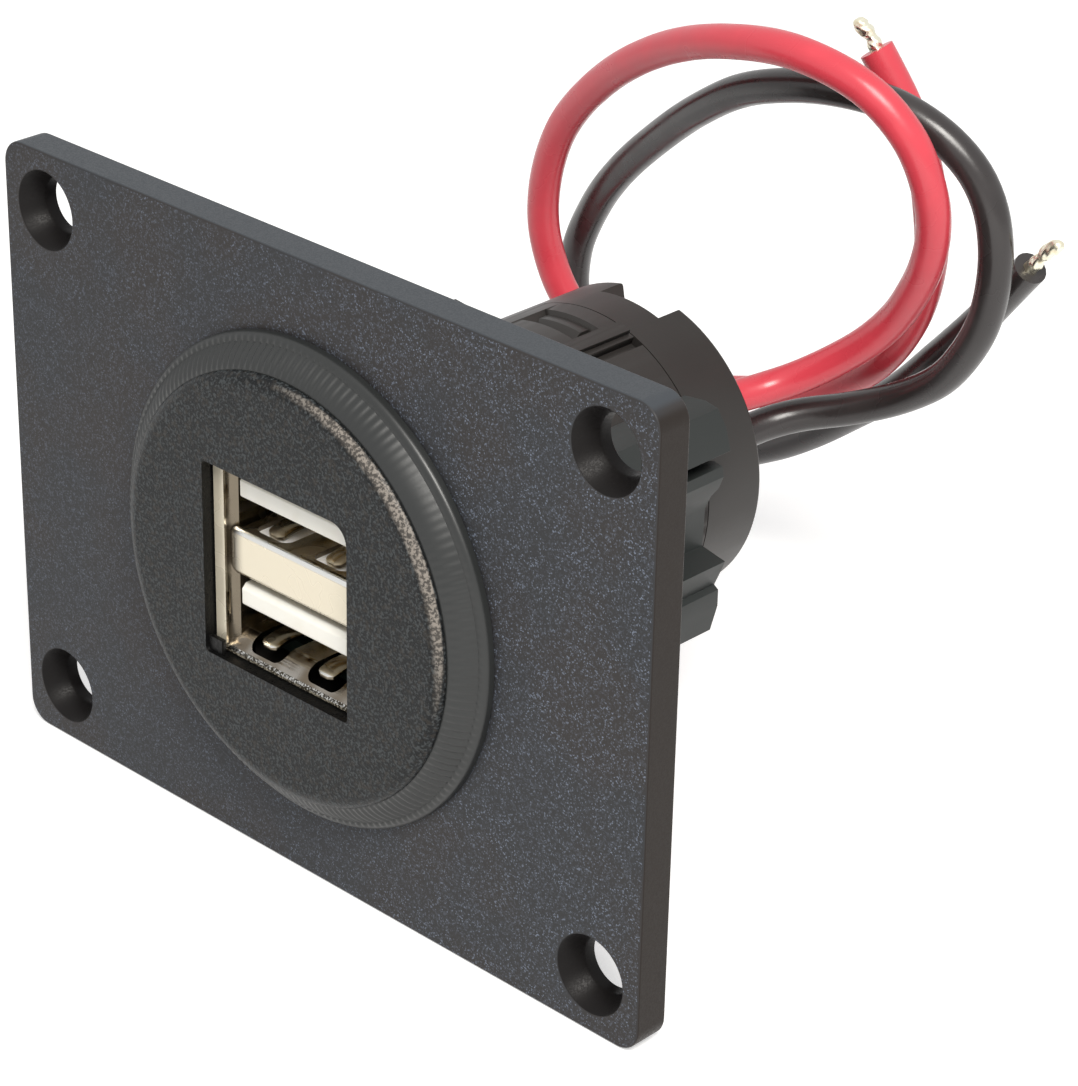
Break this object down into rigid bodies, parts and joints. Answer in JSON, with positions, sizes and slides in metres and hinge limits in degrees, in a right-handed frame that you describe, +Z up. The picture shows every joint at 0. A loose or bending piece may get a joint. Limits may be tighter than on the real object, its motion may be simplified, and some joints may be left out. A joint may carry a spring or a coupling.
{
  "type": "vehicle dual usb power socket on a mounting plate",
  "caption": "Vehicle USB power socket on a flat screw-down plate, with stacked ports behind a round cap, a threaded barrel with a winged clamp nut, and red and black leads.",
  "frame": {"origin": "on the socket's axis, in the plane of the mounting plate's back face, at the panel cut-out that the barrel passes through", "axes": "+Y along the barrel's axis, away from the ports and normal to the plate's back; +X along the plate's width; +Z up"},
  "size_m": [0.068, 0.0665, 0.0587],
  "materials": {
    "plate_plastic": "satin black with a fine pale speckle",
    "ring_plastic": "semi-gloss black with fine radial ribs",
    "cap_plastic": "fine grained black",
    "body_plastic": "smooth moulded warm black",
    "nut_plastic": "smooth moulded dark green-grey",
    "nickel_plate": "nickel-plated sheet, warm, satin",
    "white_insulator": "smooth white moulding",
    "contact_metal": "gold-plated",
    "board_laminate": "green solder resist",
    "ferrite": "matt dark ferrite",
    "capacitor_can": "bright can",
    "black_epoxy": "moulded epoxy",
    "grommet_rubber": "matt black rubber",
    "red_jacket": "soft-gloss red lead jacket",
    "black_jacket": "soft-gloss black lead jacket",
    "tinned_strands": "tinned copper strands, bright"
  },
  "bodies": {
    "root": {"mounting_plate": "plate_plastic", "bezel_ring": "ring_plastic", "face_cap": "cap_plastic", "socket_body": "body_plastic", "rear_cap": "body_plastic", "clamp_nut": "nut_plastic", "usb_shell": "nickel_plate", "port_divider": "nickel_plate", "upper_tongue": "white_insulator", "lower_tongue": "white_insulator", "upper_contact_1": "contact_metal", "upper_contact_2": "contact_metal", "upper_contact_3": "contact_metal", "upper_contact_4": "contact_metal", "lower_contact_1": "contact_metal", "lower_contact_2": "contact_metal", "lower_contact_3": "contact_metal", "lower_contact_4": "contact_metal", "pin_spacer": "white_insulator", "circuit_board": "board_laminate", "inductor": "ferrite", "input_capacitor": "capacitor_can", "output_capacitor": "capacitor_can", "controller_chip": "black_epoxy", "diode": "black_epoxy", "lead_grommet": "grommet_rubber", "red_lead": "red_jacket", "black_lead": "black_jacket", "red_lead_tip": "tinned_strands", "black_lead_tip": "tinned_strands"}
  },
  "joints": []
}
